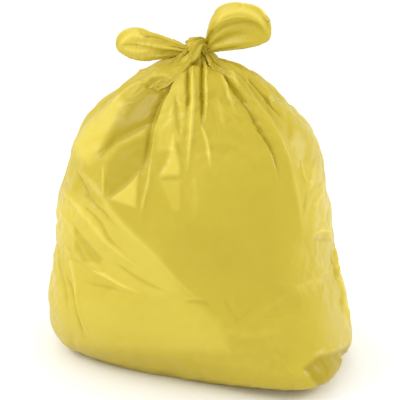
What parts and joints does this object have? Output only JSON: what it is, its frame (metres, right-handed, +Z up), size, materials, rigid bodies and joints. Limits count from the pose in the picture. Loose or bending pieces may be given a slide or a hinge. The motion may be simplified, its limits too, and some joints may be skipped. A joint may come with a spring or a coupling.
{
  "type": "garbage bag",
  "caption": "Filled yellow garbage bag of thin film, slumped on its base and tied shut with its own mouth in a half knot with two ears.",
  "frame": {"origin": "middle of the base of the bag's box, on the ground that it stands on", "axes": "+Z up through the knot, +X along the broad side towards the larger ear, -Y to the broad front"},
  "size_m": [0.5064, 0.341, 0.5799],
  "materials": {
    "film": "thin yellow polyethylene film with a soft satin gloss, creased and slightly crinkled"
  },
  "bodies": {
    "root": {"bag": "film"}
  },
  "joints": []
}
